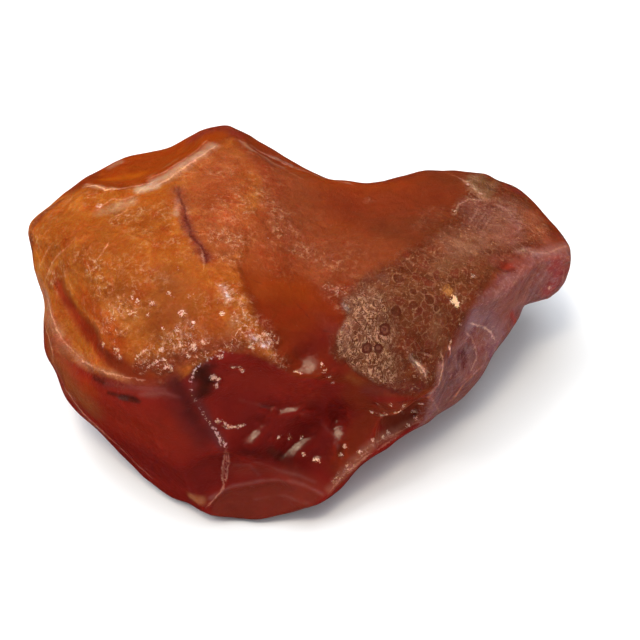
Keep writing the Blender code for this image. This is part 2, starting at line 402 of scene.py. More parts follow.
FRONT_STROKES = [
    (SCARLET, [(95, 400), (130, 425), (170, 432)], 6.0, 5.0, 0.75),
    ((190, 42, 12), [(50, 352), (66, 378), (88, 405)], 3.0, 3.0),
    ((210, 58, 32), [(55, 374), (68, 395), (82, 412), (104, 434)], 0.8, 1.0, 0.7),
    (FLAME, [(86, 386), (94, 392)], 1.4, 1.6, 0.6),
    (GARNET, [(130, 455), (190, 485), (215, 470)], 5.0, 4.0, 0.85),
    ((150, 24, 16), [(104, 383), (140, 388), (172, 388)], 1.1, 1.4, 0.6),
    ((160, 32, 24), [(140, 396), (165, 394), (178, 398)], 0.4, 0.6, 0.4),
    ((74, 8, 8), [(174, 384), (184, 400), (194, 424), (208, 434)], 2.0, 2.0, 0.9),
    ((110, 10, 8), [(158, 388), (172, 400), (184, 424), (202, 444)], 1.4, 2.0, 0.6),
    ((100, 18, 18), [(205, 366), (194, 378), (194, 396), (206, 414), (214, 432),
     (224, 446)], 0.9, 0.9, 0.85),
    (SCARLET, [(240, 376), (290, 385), (310, 398)], 3.2, 3.0, 0.4),
    (GARNET, [(250, 420), (300, 440), (330, 455)], 4.5, 4.0, 0.9),
    (WINE, [(300, 430), (325, 412), (355, 402)], 3.0, 3.0, 0.9),
    (WINE, [(240, 450), (275, 452), (300, 466)], 2.5, 2.5, 0.9),
    ((152, 15, 4), [(355, 392), (372, 415), (356, 440), (342, 468)], 2.4, 2.2, 0.9),
]
RIPPLES = [  # line, width, strength
    ([(210, 497), (233, 485), (255, 481), (277, 479), (293, 481), (304, 485), (322, 494)], 0.25, 0.7),
    ([(255, 499), (286, 495), (308, 503)], 0.2, 0.5),
    ([(233, 465), (250, 465), (259, 475)], 0.15, 0.4),
    ([(255, 462), (277, 470), (298, 475), (315, 482)], 0.2, 0.5),
    ([(104, 384), (140, 388), (165, 389)], 0.15, 0.4),
    ([(139, 395), (165, 393), (180, 397)], 0.2, 0.4),
    ([(301, 416), (325, 426), (335, 437), (338, 448)], 0.1, 0.5),
    ([(240, 400), (262, 405), (285, 408)], 0.15, 0.4),
    ([(62, 392), (80, 412), (104, 434)], 0.3, 0.6),
]
NOTCH_STROKES = [
    ((170, 34, 12), [(384, 410), (404, 408), (420, 406)], 1.0, 1.0, 0.7),
    ((190, 42, 10), [(350, 378), (360, 384)], 0.7, 1.0, 0.7),
    ((115, 15, 11), [(368, 390), (392, 391), (420, 387)], 1.4, 1.2, 0.8),
    ((225, 70, 42), [(416, 420), (396, 431), (372, 446), (352, 465), (330, 489)], 0.9, 0.9, 0.8),
    ((150, 12, 5), [(385, 402), (410, 398)], 0.8, 0.8, 0.8),
    ((280, 100, 40), [(192, 497), (200, 501)], 0.6, 0.8, 0.8),
]
STAINS = [  # line, width, soft edge, strength
    ([(94, 378), (103, 382)], 0.5, 0.6, 0.8),
    ([(108, 393), (122, 397), (138, 401)], 0.5, 0.5, 0.95),
    ([(122, 397), (134, 399)], 0.7, 0.5, 0.9),
    ([(245, 453), (268, 456), (288, 462)], 1.4, 1.6, 0.45),
    ([(203, 375), (208, 383), (204, 393)], 1.8, 1.5, 1.0),
    ([(196, 372), (215, 366)], 0.6, 0.8, 0.6),
    ([(270, 450), (281, 457)], 0.7, 0.8, 0.8),
    ([(178, 384), (186, 400), (196, 418)], 0.8, 1.5, 0.5),
]
CRACK = [(178, 191), (185, 213), (189, 232), (201, 246), (208, 260), (206, 268)]
CRACK_STROKES = [  # the bruise around the crack, then the crack
    ((350, 170, 110), [(177, 200), (176, 214)], 0.5, 0.6, 0.7),
    ((160, 34, 18), CRACK[:3], 1.0, 1.5, 0.9),
    ((165, 28, 14), [(184, 220), (196, 240), (206, 256)], 1.2, 1.0, 0.9),
    ((135, 21, 12), [(182, 208), (190, 231), (201, 246), (208, 260)], 0.5, 0.6, 0.9),
]

# The colour of the ground, laid on from the deepest and widest to the smallest.
ground = np.tile(np.array(RUST) / 1000, (len(places), 1))
shown = eased(faces_eye, -0.3, 0.0)


def lay(colour, where, strength=1.0):
    """Lays a colour on the ground where a mask is 1."""
    share = (where * strength)[:, None]
    ground[:] = ground * (1 - share) + np.array(colour) / 1000 * share


def brush(colour, path, width, blur, strength=1.0, stray=0.3):
    """Lays a colour along a line drawn on the stone."""
    lay(colour, line(path, width, blur, stray) * shown, strength)


rind = hidden * eased(drift(7.0, 4), 0.05, 0.3) * eased(places[:, 2] / MM, 2.0, 5.0)
ripple_strokes = [(BRICK, [(240, 470), (290, 474), (320, 488)], 1.4, 1.6, 0.7)]
ripple_strokes += [
    ((205, 66, 56), path, width, 0.5, strength, 0.12) for path, width, strength in RIPPLES
]
stain_strokes = [(SOOT, *stain, 0.1) for stain in STAINS]
stain_strokes += [(SLATE, [(119, 398), (127, 399)], 0.3, 0.3, 0.7, 0.0)]
lay(EMBER, eased(WANDER["broad"], -0.1, 0.5), 0.6)
lay(BROWN, eased(-WANDER["broad"], 0.1, 0.6), 0.6)
for colour, where, strength, strokes in [
    (BLOOD, hidden * eased(-places[:, 2] / MM, -12.0, -5.0), 0.75, SADDLE_STROKES),
    (AMBER, dome, 1.0, DOME_STROKES),
    (EMBER, back_scar, 1.0, SCAR_STROKES + GROOVE_STROKES + BACK_EDGE_STROKES),
    (BROWN, rind, 0.7, []),
    ((150, 16, 3), window, 1.0, WINDOW_STROKES),
    (BROWN, crust, 1.0, CRUST_STROKES),
    ((150, 41, 27), area(PURPLE_BREAK, 0.8, 0.8), 0.9, TIP_STROKES),
    ((175, 70, 30), area(BUFF_PATCH, 0.35, 0.35), 0.9, BUFF_STROKES),
    ((152, 50, 25), glazed, 0.85, GLAZE_STROKES),
    # the flank's lavender ground is partly a painted reflection of the pale table
    (MAUVE, flank, 1.0, FLANK_STROKES),
    ((165, 62, 56), dish, 0.95, FLANK_EDGE_STROKES),
    (BLOOD, front, 1.0, FRONT_STROKES),
    (BRICK, area(RIPPLED, 0.5, 0.2), 1.0, ripple_strokes),
    ((145, 17, 7), notch, 1.0, NOTCH_STROKES + stain_strokes + CRACK_STROKES),
]:
    lay(colour, where, strength)
    for stroke in strokes:
        brush(*stroke)

# Thin lines. Each corner keeps how far it is beside the nearest one, so they stay sharp.
LINE_REACH = 0.55  # millimetres


def thin_lines(lines):
    """How far each corner is beside the nearest of the lines, and that line's strength."""
    beside, strength = np.full(len(places), 9.0), np.zeros(len(places))
    for path, share in lines:
        gap = from_line(path, sided=True)
        nearer = np.abs(gap) < np.abs(beside)
        beside = np.where(nearer, gap, beside)
        fading = share * (1 - eased(np.abs(gap), 0.6 * LINE_REACH, LINE_REACH))
        strength = np.where(nearer, fading * eased(from_line([path[0]]), -0.2, 0.6), strength)
    return np.clip(beside, -1, 1), strength * (faces_eye > -0.3)


# Pale seams and hairlines. The lines along the back rim, the crescent and the left ridge on the flank,
# and the short lines at the crust's lower edge are painted highlights.
seam_and_sheen, seam_and_sheen_strength = thin_lines([  # line, strength
    ([(83, 187), (95, 186), (106, 191), (116, 190), (126, 188), (135, 186), (150, 183), (157, 181)], 1.0),
    ([(157, 186), (170, 179), (181, 171), (200, 158), (214, 147)], 0.7),
    ([(150, 178), (166, 171), (182, 161), (196, 150), (206, 141)], 0.5),
    ([(100, 208), (112, 199), (124, 200), (134, 196), (141, 191)], 0.5),
    ([(112, 218), (126, 211), (133, 200)], 0.4),
    ([(72, 236), (62, 249), (53, 262), (46, 280)], 0.5),
    ([(64, 228), (50, 246), (40, 266)], 0.4),
    ([(47, 296), (53, 319), (62, 340), (83, 361), (108, 373), (142, 380)], 0.65),
    ([(44, 318), (52, 350), (57, 372), (68, 393), (80, 409), (98, 427), (116, 444)], 0.9),
    ([(50, 358), (62, 382), (74, 398)], 0.6), ([(116, 444), (134, 462), (152, 478)], 0.5),
    ([(242, 142), (265, 154), (300, 170), (324, 178), (350, 184)], 0.6),
    ([(248, 152), (272, 164), (300, 178)], 0.4), ([(447, 173), (455, 176), (464, 181)], 0.5),
    ([(482, 201), (468, 200), (459, 205), (455, 214)], 0.6), ([(469, 224), (477, 211)], 0.4),
    ([(475, 228), (485, 213)], 0.4), ([(482, 231), (491, 217)], 0.35),
    (TIP_EDGE, 0.35), ([(541, 262), (530, 285), (520, 305)], 0.2),
    ([(534, 262), (522, 284), (512, 304)], 0.15),
    ([(526, 262), (514, 284), (503, 303)], 0.15), ([(549, 268), (539, 288), (530, 300)], 0.2),
    ([(510, 285), (500, 300), (492, 316)], 0.2), ([(565, 270), (564, 280), (561, 290)], 0.3),
    ([(470, 323), (478, 326), (484, 327), (491, 332), (494, 338)], 1.0),
    ([(466, 332), (472, 338), (477, 349), (478, 359), (473, 370)], 0.5),
    ([(484, 340), (487, 350), (486, 360)], 0.2), (DISH_RIM, 0.5),
    ([(441, 350), (442, 368), (437, 385)], 0.9), ([(451, 339), (449, 346), (451, 355)], 1.0),
    ([(432, 398), (436, 405), (440, 412)], 0.4),
    ([(226, 450), (224, 459), (222, 468), (222, 476), (224, 486), (216, 494), (208, 505)], 0.7),
    ([(227, 452), (229, 462), (227, 472), (226, 480)], 0.7),
    ([(330, 492), (343, 475), (359, 462), (381, 448), (397, 433), (418, 423)], 0.4),
    ([(352, 470), (366, 456), (384, 445), (396, 438)], 0.6),
    ([(361, 451), (376, 442), (392, 435)], 0.5),
    ([(409, 354), (416, 362), (422, 368), (425, 376)], 0.9), ([(420, 353), (428, 355)], 0.8),
    ([(201, 249), (204, 258), (204, 267)], 0.6), ([(100, 251), (107, 243)], 0.7),
])
crack, crack_strength = thin_lines([
    ([(178, 191), (181, 201), (184, 206), (186, 219), (191, 229), (190, 235), (199, 243), (204, 250),
     (207, 260)], 0.9),
    ([(186, 219), (181, 213)], 0.6), ([(190, 230), (199, 232)], 0.7),
    ([(203, 249), (210, 251)], 0.6),
    ([(297, 304), (300, 307)], 0.9), ([(305, 312), (307, 315)], 1.0),
    ([(253, 280), (258, 282)], 0.7),
    ([(322, 330), (326, 331)], 0.8), ([(187, 222), (183, 226)], 0.5),
    ([(375, 405), (400, 402), (429, 397)], 0.9), ([(112, 393), (124, 398), (139, 401)], 0.8),
    ([(94, 377), (104, 383)], 0.7), ([(453, 338), (452, 346), (453, 354)], 0.9),
    ([(264, 446), (272, 452), (283, 460)], 0.8), ([(271, 447), (278, 452)], 0.7),
    ([(392, 384), (404, 380)], 0.5), ([(129, 200), (142, 195)], 0.5),
])

# Single painted glints, pale flecks laid into the colour, and round cells in the crust: their radius in
# millimetres, and their middles.
PAINTED_GLINTS = {
    0.0: [
        (118, 350), (147, 315), (163, 328), (295, 371), (300, 373), (301, 437), (330, 378),
        (333, 383),
        (391, 405), (451, 341), (454, 211), (460, 324),
    ],
    0.02: [
        (132, 297), (190, 295), (193, 323), (304, 455), (319, 461), (322, 366), (360, 452),
        (372, 412),
        (373, 440), (400, 412), (404, 406),
    ],
    0.03: [(345, 447), (377, 405), (386, 414), (450, 348)],
    0.04: [
        (137, 301), (279, 437), (325, 372), (383, 437), (395, 413), (468, 185), (472, 276),
        (476, 190),
    ],
    0.05: [
        (101, 206), (102, 344), (171, 368), (188, 356), (217, 387), (219, 379), (226, 292),
        (228, 299),
        (341, 455), (408, 425), (416, 418), (513, 186),
    ],
    0.06: [
        (166, 367), (169, 293), (203, 343), (213, 378), (218, 421), (289, 436), (382, 416),
        (414, 411),
        (421, 404), (550, 289),
    ],
    0.08: [(98, 206), (120, 357), (176, 330), (222, 313), (316, 459), (388, 433), (480, 194)],
    0.1: [(151, 303), (161, 350), (252, 346), (262, 345), (265, 334)],
    0.12: [(180, 344), (220, 356)],
    0.14: [(181, 313), (194, 347)],
    0.16: [(258, 338)],
}
ROUND_CELLS = {
    0.55: [(398, 279), (396, 311)], 0.5: [(429, 300)], 0.42: [(413, 305)], 0.4: [(488, 252)],
    0.36: [(413, 292)], 0.33: [(424, 292)], 0.3: [(436, 309)], 0.16: [(489, 188)], 0.12: [(494, 190)],
}
PAINTED_GLINT_LINES = [
    [(223, 422), (228, 427), (238, 427), (244, 425)], [(232, 367), (239, 367), (243, 372)],
    [(148, 367), (156, 362), (164, 360)], [(137, 358), (142, 352), (146, 350)],
]
RIDGE = [
    (226, 349), (208, 359), (196, 369), (190, 382), (193, 396), (200, 408), (210, 424), (224, 444),
]


def from_spots(table):
    """The distance in millimetres from the nearest of the spots, less than 0 inside one."""
    gaps = [from_line([pixel]) - radius for radius, pixels in table.items() for pixel in pixels]
    return np.min(gaps, axis=0)


painted_glint = 1 - np.maximum(from_spots(PAINTED_GLINTS), 0) / 0.6
for path in PAINTED_GLINT_LINES:
    painted_glint = np.maximum(painted_glint, 0.92 - from_line(path) / 0.6)
# painted glints strewn along the ridge's crest
painted_glint = np.maximum(painted_glint, 0.58 + 0.25 * WANDER["fine"] - from_line(RIDGE, 0.25) / 1.6)
painted_glint = np.maximum(painted_glint, 0)
cell_edge = np.minimum(from_spots(ROUND_CELLS), 1.0)
# Painted glints and sheen: pale lacework along the ridge's crest and beside the stain, and two silvery
# painted reflections on the dome.
painted_glint_lace = among(
    line(RIDGE, 0.45, 0.7, 0.4),
    line([(213, 376), (219, 381), (217, 388)], 0.4, 0.5, 0.2) * 0.9,
    line([(221, 286), (228, 297)], 0.6, 0.7, 0.6),
    line([(250, 335), (257, 341), (266, 346)], 0.6, 0.7, 0.6),
)

# Where the skin is chipped, frosted, polished or crusted.
CHIPPED = [  # line, width, soft edge, how far it strays, share
    ([(107, 318), (122, 306), (134, 312)], 1.7, 1.4, 0.6, 1.0),
    ([(101, 330), (124, 328)], 0.8, 1.0, 0.4, 0.8), ([(112, 343), (118, 355)], 0.8, 1.0, 0.4, 0.8),
    ([(141, 366), (152, 352), (160, 368), (168, 366)], 1.0, 1.2, 0.6, 1.0),
    ([(168, 343), (184, 335), (190, 355), (204, 352), (222, 345), (240, 338)], 1.5, 1.6, 0.8, 1.0),
    ([(228, 287), (238, 300)], 1.4, 1.2, 0.5, 1.0),
    ([(240, 318), (248, 325), (256, 340), (268, 342)], 1.8, 1.4, 0.5, 1.0),
    ([(262, 350), (278, 360), (286, 368)], 0.7, 0.8, 0.3, 1.0),
    ([(150, 302), (154, 304)], 0.5, 0.8, 0.3, 0.7), ([(181, 313), (183, 314)], 0.5, 0.7, 0.3, 0.7),
    ([(326, 286), (332, 290), (345, 289)], 0.7, 0.8, 0.4, 0.8),
    ([(213, 377), (218, 381), (217, 387)], 0.5, 0.5, 0.1, 1.0),
    ([(219, 421), (228, 427), (240, 426)], 0.35, 0.4, 0.05, 1.0),
    ([(377, 414), (384, 413), (402, 412)], 0.35, 0.5, 0.1, 1.0),
    ([(416, 408), (417, 420)], 0.5, 0.6, 0.2, 1.0),
    ([(334, 482), (343, 474), (350, 466)], 0.7, 0.9, 0.3, 1.0),
    ([(352, 466), (372, 446), (396, 431)], 0.3, 0.6, 0.5, 0.35),
    ([(410, 358), (419, 366), (428, 376)], 1.2, 1.2, 0.5, 1.0),
    ([(437, 392), (440, 380)], 0.4, 0.5, 0.1, 1.0),
]
chips = among(*[line(*stroke) * share for *stroke, share in CHIPPED])
# painted glints sprinkled over the chipped skin
painted_glint = np.maximum(painted_glint, 0.5 * chips)
SCUFFED = [  # line, width, share
    ([(92, 270), (103, 285)], 2.2, 1.0), ([(120, 219), (138, 214)], 1.5, 0.8),
    ([(213, 172), (227, 172)], 1.3, 0.9), ([(218, 240), (240, 240), (236, 258)], 1.8, 0.9),
    ([(219, 256), (227, 256)], 0.9, 1.0), ([(222, 284), (228, 300)], 1.4, 1.0),
    ([(133, 231), (150, 232)], 1.4, 0.5), ([(140, 270), (162, 280)], 1.2, 0.4),
    ([(260, 195), (292, 232)], 2.5, 0.6), ([(300, 250), (330, 262)], 2.0, 0.6),
    ([(365, 180), (372, 200)], 0.8, 0.7), ([(55, 245), (60, 262), (50, 278)], 1.3, 0.5),
    ([(74, 199), (83, 194)], 0.6, 1.0), ([(240, 190), (250, 215)], 1.6, 0.5),
    ([(455, 213), (462, 202), (484, 200)], 0.8, 0.9), ([(467, 181), (480, 196)], 1.0, 0.9),
    ([(500, 205), (514, 215), (518, 230)], 1.2, 0.8), ([(520, 250), (530, 252)], 0.9, 0.8),
    ([(176, 205), (192, 212)], 1.2, 0.7), ([(245, 300), (262, 330), (280, 360)], 1.4, 0.7),
    ([(420, 225), (440, 210)], 1.5, 0.3), ([(150, 345), (200, 340)], 2.5, 0.4),
    ([(330, 296), (345, 310)], 1.0, 0.7),
]
scuffs = among(*[line(path, width, 1.2, 0.8) * share for path, width, share in SCUFFED])
frost = among(
    dome * (0.6 + 0.4 * eased(WANDER["broad"], -0.4, 0.4)),
    line([(240, 175), (265, 215), (290, 250), (320, 262)], 9.0, 6.0, 1.0) * 0.6,
) * (1 - line([(165, 300), (150, 330)], 4.0, 3.0, 0.5) * 0.6) * (1 - window)
frost = np.maximum(frost, hidden * (0.4 + 0.4 * eased(WANDER["broad"], -0.2, 0.3)))
scuffs = np.maximum(scuffs, 0.8 * hidden * eased(WANDER["middling"], 0.25, 0.5))
chips = np.maximum(chips, hidden * eased(WANDER["middling"] + WANDER["broad"], 0.75, 1.0))
frost *= 1 - 0.8 * line([(122, 371), (160, 370), (190, 358), (224, 346)], 2.6, 2.2, 0.6)
frost *= 1 - line([(60, 283), (68, 303), (80, 321), (95, 345), (112, 366), (150, 380)], 1.6, 1.4, 0.4)
polish = among(front * 0.6, window * 0.5, flank) * (1 - notch)
cellular = area(CELLS, 1.2, 1.0)
ease = area(EVENED, 2.0, 0.0)

# Placed relief, in millimetres out of the skin: bosses and shelves that catch the light.
RISES = [  # line along its crest, half width, height
    ([(226, 456), (223, 470), (227, 483), (218, 492), (209, 504)], 0.25, 0.15),
    ([(209, 497), (227, 488), (254, 483), (286, 480), (302, 485), (322, 495)], 0.5, 0.18),
    ([(254, 499), (286, 495), (308, 505)], 0.5, 0.12),
    ([(95, 187), (118, 192), (150, 188), (165, 179), (188, 166), (212, 151)], 0.5, 0.15),
    ([(447, 347), (443, 364), (437, 384)], 0.4, 0.2),
    ([(418, 366)], 0.9, 0.35),
]
DIPS = [
    ([(179, 190), (186, 215), (190, 231), (201, 246), (207, 258), (206, 267)], 0.35, 0.08),
    ([(207, 384)], 1.0, 0.45),
    ([(491, 187)], 0.8, 0.3),
    ([(504, 265)], 0.8, 0.3),
    ([(534, 225), (545, 240)], 0.8, 0.15),
    ([(385, 330)], 0.5, 0.12),
    ([(366, 349)], 0.5, 0.12),
    ([(378, 348)], 0.45, 0.12),
    ([(451, 344)], 0.5, 0.25),
    ([(375, 405), (429, 396)], 0.4, 0.25),
    ([(58, 283), (68, 303), (80, 319), (95, 339), (105, 357)], 1.2, 0.12),
]
STANDS_OUT = ((0.10, crust), (0.12, glazed), (-0.07, window), (-0.10, flank), (-0.16, dish))
relief = sum(amount * where for amount, where in STANDS_OUT)
for sign, features in ((1, RISES), (-1, DIPS)):
    for path, half_width, amount in features:
        bulge = np.exp(-((from_line(path, 0.08) / half_width) ** 2))
        relief += sign * amount * bulge * (faces_eye > -0.3)


# Small worn shelves, each turned so that it shines: pixel of the middle, half length and half
# width in pixels, and the turn of its length in degrees.
FRONT_LAMP = Vector((-0.06, -0.15, 0.50))  # the shelves throw its light to the eye
CROWN_RATIO = 7.0  # radius of a shelf's crown over its half length
SHELF_REACH = 4 * MM  # to either side of a shelf's middle, along the view
PIXELS_PER_MM = 9.36
SHELVES = [
    ((310, 368), 14, 12, -5), ((290, 410), 17, 7, -13), ((269, 439), 5, 4, 0),
    ((254, 437), 15, 7, 62),
    ((296, 448), 18, 9, 50), ((317, 459), 6, 5, -30), ((338, 435), 19, 7, 95),
    ((341, 454), 6, 3, 90),
    ((238, 368), 5, 2, -15), ((234, 427), 8, 2.2, 5), ((450, 347), 7, 2, 90),
    ((417, 364), 7, 3, -54),
    ((396, 413), 5, 2, 0), ((415, 414), 5, 2, 90), ((337, 478), 3, 3, 30), ((216, 379), 4, 2.4, 0),
]
shelves, shine = np.zeros(len(places)), np.zeros(len(places))
for middle, half_length, half_width, turn in SHELVES:
    spot = Vector(found_on_stone(middle))
    facing = (camera.location - spot).normalized() + (FRONT_LAMP - spot).normalized()
    facing.normalize()
    spot, facing = np.array(spot), np.array(facing)
    off = on_broad_side - np.array((spot[0], spot @ np.array(UP_SLOPE))) / MM
    cos, sin = math.cos(math.radians(turn)), math.sin(math.radians(turn))
    along = (off[:, 0] * cos + off[:, 1] * sin) * PIXELS_PER_MM / half_length
    athwart = (off[:, 1] * cos - off[:, 0] * sin) * PIXELS_PER_MM / half_width
    near = 1 - eased(np.hypot(along, athwart) + 0.35 * WANDER["fine"], 0.45, 2.0)
    near *= (faces_eye > 0) * (np.abs((places - spot) @ np.array(TO_EYE)) < SHELF_REACH)
    above = (places - spot) @ facing
    crown_radius = CROWN_RATIO * half_length / PIXELS_PER_MM * MM
    crown = -((off * MM) ** 2).sum(1) / (2 * crown_radius)
    places -= facing * ((above - crown) * near)[:, None]
    shelves = np.maximum(shelves, near)
    fading = 1.3 * (along - 0.2) ** 2 + 1.6 * (athwart + 0.3 * WANDER["fine"]) ** 2
    shine = np.maximum(shine, np.exp(-fading) * (near > 0))
skin.vertices.foreach_set("co", places.astype(np.float32).ravel())


# What the relief and the material read at each corner.
for name, values in {
    "chips": chips, "frost": frost, "crust": among(crust * (1 - glazed), 0.8 * rind),
    "glazed": glazed, "polish": polish, "cellular": cellular, "hidden": hidden, "ease": ease,
    "relief": relief, "flank": flank, "shelves": shelves, "shine": shine, "seam_and_sheen": seam_and_sheen,
    "seam_and_sheen_strength": seam_and_sheen_strength, "crack": crack, "crack_strength": crack_strength,
    "painted_glint": painted_glint, "cell_edge": cell_edge, "scuffs": scuffs, "painted_glint_lace": painted_glint_lace,
}.items():
    field = skin.attributes.new(name, "FLOAT", "POINT")
    field.data.foreach_set("value", values.astype(np.float32))
painted = np.hstack([ground, np.ones((len(ground), 1))]).astype(np.float32)
skin.attributes.new("ground", "FLOAT_COLOR", "POINT").data.foreach_set("color", painted.ravel())


class Value:
    """A number that varies over the stone: a node's socket, reckoned with as Python numbers are."""

    def __init__(self, tree, socket):
        self.tree, self.socket = tree, socket

    def reckon(self, operation, *terms):
        return self.tree.node("ShaderNodeMath", {"operation": operation}, dict(enumerate(terms)))

    def __add__(self, other):
        return self.reckon("ADD", self, other)

    def __sub__(self, other):
        return self.reckon("SUBTRACT", self, other)

    def __rsub__(self, other):
        return self.reckon("SUBTRACT", other, self)

    def __mul__(self, other):
        return self.reckon("MULTIPLY", self, other)

    def __rtruediv__(self, other):
        return self.reckon("DIVIDE", other, self)

    def __abs__(self):
        return self.reckon("ABSOLUTE", self)

    __radd__ = __add__
    __rmul__ = __mul__

    def between(self, low, high):
        """0 at low, 1 at high, eased between."""
        settings = {"interpolation_type": "SMOOTHSTEP"}
        return self.tree.node("ShaderNodeMapRange", settings, {0: self, 1: low, 2: high})

    def least(self, other):
        return self.reckon("MINIMUM", self, other)

    def bounded(self):
        return self.reckon("MAXIMUM", self, 0.0).least(1.0)


class Tree:
    """A node tree that is filled by one method."""

    def __init__(self, tree):
        self.tree = tree

    def node(self, kind, settings=None, sockets=None, output=0):
        made = self.tree.nodes.new(kind)
        for name, value in (settings or {}).items():
            setattr(made, name, value)
        for name, value in (sockets or {}).items():
            if isinstance(value, Value):
                self.tree.links.new(value.socket, made.inputs[name])
            else:
                made.inputs[name].default_value = value
        return Value(self, made.outputs[output]) if made.outputs else made

    def vector(self, operation, *terms, scale=1.0, output=0):
        sockets = {**dict(enumerate(terms)), 3: scale}
        return self.node("ShaderNodeVectorMath", {"operation": operation}, sockets, output)

    def mixed(self, share, *colours):
        """A colour with a share of another mixed in. A tone is given in thousandths."""
        tones = [c if isinstance(c, Value) else (*(part / 1000 for part in c), 1.0) for c in colours]
        settings = {"data_type": "RGBA", "clamp_factor": True}
        return self.node("ShaderNodeMix", settings, {0: share, 6: tones[0], 7: tones[1]}, output=2)


# Worked relief of the whole skin, as a tree of named sizes in millimetres.
SKIN_RELIEF = {
    "Swell Size": 4.0, "Swell Height": 0.12, "Frost Size": 1.1, "Frost Depth": 0.05,
    "Crust Cell Size": 1.05, "Crust Cell Height": 0.07, "Grain Size": 0.75, "Grain Height": 0.05,
    "Chip Size": 0.8, "Chip Depth": 0.2,
}
relief_tree = bpy.data.node_groups.new("skin relief", "GeometryNodeTree")
relief_tree.interface.new_socket("Stone", in_out="INPUT", socket_type="NodeSocketGeometry")
relief_tree.interface.new_socket("Stone", in_out="OUTPUT", socket_type="NodeSocketGeometry")
for name in SKIN_RELIEF:
    relief_tree.interface.new_socket(name, in_out="INPUT", socket_type="NodeSocketFloat")
relief_tree.interface.new_socket("Finish", in_out="INPUT", socket_type="NodeSocketMaterial")
g = Tree(relief_tree)
g.node("NodeGroupInput")
given = {socket.name: Value(g, socket) for socket in relief_tree.nodes[0].outputs if socket.name}


def stored(name):
    return g.node("GeometryNodeInputNamedAttribute", {"data_type": "FLOAT"}, {"Name": name})


def shifted_place(size, seed):
    scaled = g.vector("SCALE", g.node("GeometryNodeInputPosition"), scale=1 / (size * MM))
    return g.vector("ADD", scaled, (seed, 2 * seed, 3 * seed))


def noise_field(size, detail, seed):
    """Noise from -0.5 to 0.5 with features of a size in millimetres."""
    sockets = {"Vector": shifted_place(size, seed), "Scale": 1.0, "Detail": detail}
    return g.node("ShaderNodeTexNoise", {}, sockets) - 0.5


def cell_field(size, seed):
    """Distance from the middle of the nearest cell, about 0 to 0.8."""
    sockets = {"Vector": shifted_place(size, seed), "Scale": 1.0, "Smoothness": 0.3}
    return g.node("ShaderNodeTexVoronoi", {"feature": "SMOOTH_F1"}, sockets)


evened = g.node(
    "GeometryNodeBlurAttribute", {"data_type": "FLOAT_VECTOR"},
    {"Value": g.node("GeometryNodeInputPosition"), "Iterations": 160, "Weight": stored("ease")},
)
even_stone = g.node("GeometryNodeSetPosition", {}, {"Geometry": given["Stone"], "Position": evened})
height = stored("relief") + noise_field(given["Swell Size"], 2.0, 1.7) * given["Swell Height"] * 2
frosting = noise_field(given["Frost Size"], 2.0, 4.1) * given["Frost Depth"] * 2
height = height + frosting * stored("frost")
crust_cells = (0.5 - cell_field(given["Crust Cell Size"], 9.2)) * given["Crust Cell Height"] * 2
height = height + crust_cells * stored("crust")
grainy = stored("crust") + stored("glazed") * 2 + stored("hidden") * 0.8
height = height + noise_field(given["Grain Size"], 3.0, 2.9) * given["Grain Height"] * grainy
chip_noise = noise_field(given["Chip Size"], 2.0, 8.8)
chipping = (0.5 - cell_field(given["Chip Size"], 6.3)) + chip_noise * 0.5
height = height + chipping * given["Chip Depth"] * stored("chips")
height = height * (1 - stored("shelves"))
offset = g.vector("SCALE", g.node("GeometryNodeInputNormal"), scale=height * MM)
moved = g.node("GeometryNodeSetPosition", {}, {"Geometry": even_stone, "Offset": offset})
real = g.node("GeometryNodeRealizeInstances", {}, {"Geometry": moved})
finished = g.node("GeometryNodeSetMaterial", {}, {"Geometry": real, "Material": given["Finish"]})
g.node("NodeGroupOutput", {}, {0: finished})

# The finish: waxy, cloudy chalcedony, with a fine bloom on its worn faces, and glints and sheen painted
# into its colour.
finish = bpy.data.materials.new("waxy carnelian")
finish.use_nodes = True
finish.node_tree.nodes.clear()
m = Tree(finish.node_tree)
place = m.node("ShaderNodeTexCoord", output=3)


def mask(name):
    return m.node("ShaderNodeAttribute", {"attribute_name": name}, output=2)


def clouds(size, detail=4.0, roughness=0.55, distortion=0.0, at=place):
    """Noise about 0 to 1 with features of a size in millimetres."""
    sockets = {"Vector": at, "Scale": 1 / (size * MM), "Detail": detail, "Roughness": roughness}
    return m.node("ShaderNodeTexNoise", {}, {**sockets, "Distortion": distortion})


def crazed(size, feature, output=0):
    """Cells of a size in millimetres, their edges bent a little."""
    bend = m.node("ShaderNodeTexNoise", {}, {"Vector": place, "Scale": 0.8 / (size * MM)}, output=1)
    bent = m.vector("ADD", place, m.vector("SCALE", bend, scale=0.8 * size * MM))
    sockets = {"Vector": bent, "Scale": 1 / (size * MM)}
    return m.node("ShaderNodeTexVoronoi", {"feature": feature}, sockets, output)


def away_from(*dots):
    """The distance in millimetres from the nearest of some places. Each is a pixel and how much
    farther it is put."""
    gaps = [
        m.vector("DISTANCE", place, tuple(found_on_stone(pixel)), output=1) * 1000 + farther
        for pixel, farther in dots
    ]
    nearest = gaps[0]
    for gap in gaps[1:]:
        nearest = nearest.least(gap)
    return nearest


class Coats:
    """The colour of the stone, built up coat by coat from its ground."""

    def __init__(self, ground):
        self.colour = ground

    def tint(self, factors, share):
        """Multiplies a share of the colour by a factor for each of its three parts."""
        self.colour = m.mixed(share, self.colour, m.vector("MULTIPLY", self.colour, factors))

    def over(self, tone, share):
        """Lays a share of a tone over the colour."""
        self.colour = m.mixed(share, self.colour, tone)


